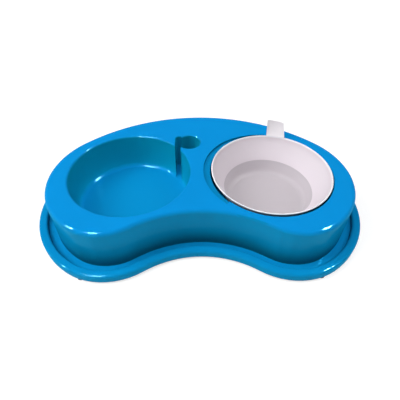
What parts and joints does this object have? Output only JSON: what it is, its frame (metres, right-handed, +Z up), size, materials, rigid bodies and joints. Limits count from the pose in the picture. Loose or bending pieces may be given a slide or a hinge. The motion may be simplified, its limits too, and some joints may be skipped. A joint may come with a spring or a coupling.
{
  "type": "double pet bowl",
  "caption": "Blue kidney-shaped double pet feeder: water bowl with a bottle socket, a lift-out white food bowl with a tab, and a moat round the base.",
  "frame": {"origin": "on the ground under the middle of the outline", "axes": "+Z up, +X from the water bowl to the food bowl, +Y to the back, where the tab is"},
  "size_m": [0.4164, 0.2712, 0.0875],
  "materials": {
    "body_blue": "gloss",
    "bowl_white": "satin",
    "foot_rubber": "matte"
  },
  "bodies": {
    "base": {"feeder_body": "body_blue", "foot_front_left": "foot_rubber", "foot_front_right": "foot_rubber", "foot_back_left": "foot_rubber", "foot_back_right": "foot_rubber"},
    "lifting_bowl": {"food_bowl": "bowl_white"}
  },
  "joints": [
    {"name": "bowl_lift", "type": "slide", "parent": "base", "child": "lifting_bowl", "axis": [0, 0, 1], "range_m": [0, 0.08]}
  ]
}
